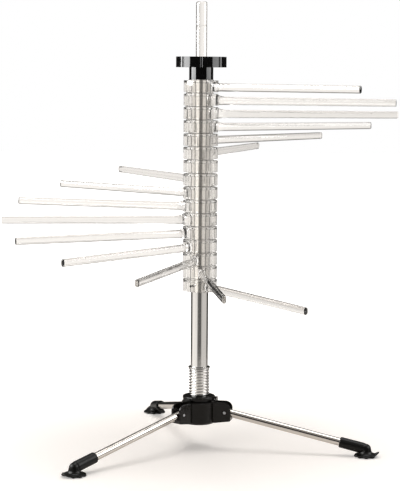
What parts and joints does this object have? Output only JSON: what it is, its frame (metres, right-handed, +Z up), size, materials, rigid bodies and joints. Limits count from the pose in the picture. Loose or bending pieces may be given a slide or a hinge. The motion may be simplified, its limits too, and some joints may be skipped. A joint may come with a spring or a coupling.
{
  "type": "pasta drying rack",
  "caption": "Table-top rack for drying fresh pasta: a metal column on folding legs carries a spiral fan of clear arms, opened and closed by a knob on top.",
  "frame": {"origin": "on the column's axis at the level of the table", "axes": "+Z up along the column, +X to the right and -Y towards the viewer of the picture"},
  "size_m": [0.3963, 0.3958, 0.4501],
  "materials": {
    "clear_plastic": "water-clear moulded polycarbonate, polished",
    "black_plastic": "gloss black moulded plastic",
    "dark_plastic": "plain black moulded plastic",
    "column_steel": "bright drawn steel tube",
    "leg_chrome": "mirror-bright chromium plate",
    "spring_steel": "bright zinc-plated wire",
    "zinc_metal": "zinc-plated steel",
    "blackened_steel": "blackened steel",
    "black_rubber": "satin black rubber"
  },
  "bodies": {
    "root": {"hub_base": "black_plastic", "column_tube": "column_steel", "cross_pin": "blackened_steel", "wand_bush": "dark_plastic", "spring": "spring_steel", "spring_clip": "spring_steel", "column_plug": "zinc_metal", "base_screw": "zinc_metal", "leg_pin_left": "zinc_metal", "leg_pin_right": "zinc_metal", "leg_pin_rear": "zinc_metal", "arm_16": "clear_plastic"},
    "arm_15": {"arm_15": "clear_plastic"},
    "arm_14": {"arm_14": "clear_plastic"},
    "arm_13": {"arm_13": "clear_plastic"},
    "arm_12": {"arm_12": "clear_plastic"},
    "arm_11": {"arm_11": "clear_plastic"},
    "arm_10": {"arm_10": "clear_plastic"},
    "arm_09": {"arm_09": "clear_plastic"},
    "arm_08": {"arm_08": "clear_plastic"},
    "arm_07": {"arm_07": "clear_plastic"},
    "arm_06": {"arm_06": "clear_plastic"},
    "arm_05": {"arm_05": "clear_plastic"},
    "arm_04": {"arm_04": "clear_plastic"},
    "arm_03": {"arm_03": "clear_plastic"},
    "arm_02": {"arm_02": "clear_plastic"},
    "arm_01": {"arm_01": "clear_plastic", "knob": "black_plastic"},
    "wand": {"wand": "clear_plastic"},
    "lock_cap": {"lock_cap": "black_plastic"},
    "leg_left": {"leg_tube_left": "leg_chrome", "leg_plug_left": "dark_plastic", "foot_left": "black_rubber"},
    "leg_right": {"leg_tube_right": "leg_chrome", "leg_plug_right": "dark_plastic", "foot_right": "black_rubber"},
    "leg_rear": {"leg_tube_rear": "leg_chrome", "leg_plug_rear": "dark_plastic", "foot_rear": "black_rubber"}
  },
  "joints": [
    {"name": "arm_15_turn", "type": "hinge", "parent": "root", "child": "arm_15", "pos_m": [0, 0, 0], "axis": [0, 0, 1], "range_deg": [0, 22.78]},
    {"name": "arm_14_turn", "type": "hinge", "parent": "arm_15", "child": "arm_14", "pos_m": [0, 0, 0], "axis": [0, 0, 1], "range_deg": [0, 22.78]},
    {"name": "arm_13_turn", "type": "hinge", "parent": "arm_14", "child": "arm_13", "pos_m": [0, 0, 0], "axis": [0, 0, 1], "range_deg": [0, 22.78]},
    {"name": "arm_12_turn", "type": "hinge", "parent": "arm_13", "child": "arm_12", "pos_m": [0, 0, 0], "axis": [0, 0, 1], "range_deg": [0, 22.78]},
    {"name": "arm_11_turn", "type": "hinge", "parent": "arm_12", "child": "arm_11", "pos_m": [0, 0, 0], "axis": [0, 0, 1], "range_deg": [0, 22.78]},
    {"name": "arm_10_turn", "type": "hinge", "parent": "arm_11", "child": "arm_10", "pos_m": [0, 0, 0], "axis": [0, 0, 1], "range_deg": [0, 22.78]},
    {"name": "arm_09_turn", "type": "hinge", "parent": "arm_10", "child": "arm_09", "pos_m": [0, 0, 0], "axis": [0, 0, 1], "range_deg": [0, 22.78]},
    {"name": "arm_08_turn", "type": "hinge", "parent": "arm_09", "child": "arm_08", "pos_m": [0, 0, 0], "axis": [0, 0, 1], "range_deg": [0, 22.78]},
    {"name": "arm_07_turn", "type": "hinge", "parent": "arm_08", "child": "arm_07", "pos_m": [0, 0, 0], "axis": [0, 0, 1], "range_deg": [0, 22.78]},
    {"name": "arm_06_turn", "type": "hinge", "parent": "arm_07", "child": "arm_06", "pos_m": [0, 0, 0], "axis": [0, 0, 1], "range_deg": [0, 22.78]},
    {"name": "arm_05_turn", "type": "hinge", "parent": "arm_06", "child": "arm_05", "pos_m": [0, 0, 0], "axis": [0, 0, 1], "range_deg": [0, 22.78]},
    {"name": "arm_04_turn", "type": "hinge", "parent": "arm_05", "child": "arm_04", "pos_m": [0, 0, 0], "axis": [0, 0, 1], "range_deg": [0, 22.78]},
    {"name": "arm_03_turn", "type": "hinge", "parent": "arm_04", "child": "arm_03", "pos_m": [0, 0, 0], "axis": [0, 0, 1], "range_deg": [0, 22.78]},
    {"name": "arm_02_turn", "type": "hinge", "parent": "arm_03", "child": "arm_02", "pos_m": [0, 0, 0], "axis": [0, 0, 1], "range_deg": [0, 22.78]},
    {"name": "arm_01_turn", "type": "hinge", "parent": "arm_02", "child": "arm_01", "pos_m": [0, 0, 0], "axis": [0, 0, 1], "range_deg": [0, 22.78]},
    {"name": "wand_lift", "type": "slide", "parent": "root", "child": "wand", "axis": [0, 0, 1], "range_m": [0, 0.215]},
    {"name": "lock_cap_lift", "type": "slide", "parent": "root", "child": "lock_cap", "axis": [0, 0, 1], "range_m": [0, 0.01], "stiffness_N_per_m": 263, "springref_m": -0.02, "deforming": ["spring"]},
    {"name": "leg_left_fold", "type": "hinge", "parent": "root", "child": "leg_left", "pos_m": [-0.01917, -0.02041, 0.0375], "axis": [-0.729, 0.6845, 0], "range_deg": [0, 101.6]},
    {"name": "leg_right_fold", "type": "hinge", "parent": "root", "child": "leg_right", "pos_m": [0.02726, -0.00639, 0.0375], "axis": [-0.2284, -0.9736, 0], "range_deg": [0, 101.6]},
    {"name": "leg_rear_fold", "type": "hinge", "parent": "root", "child": "leg_rear", "pos_m": [-0.00809, 0.0268, 0.0375], "axis": [0.9573, 0.289, 0], "range_deg": [0, 101.6]}
  ]
}
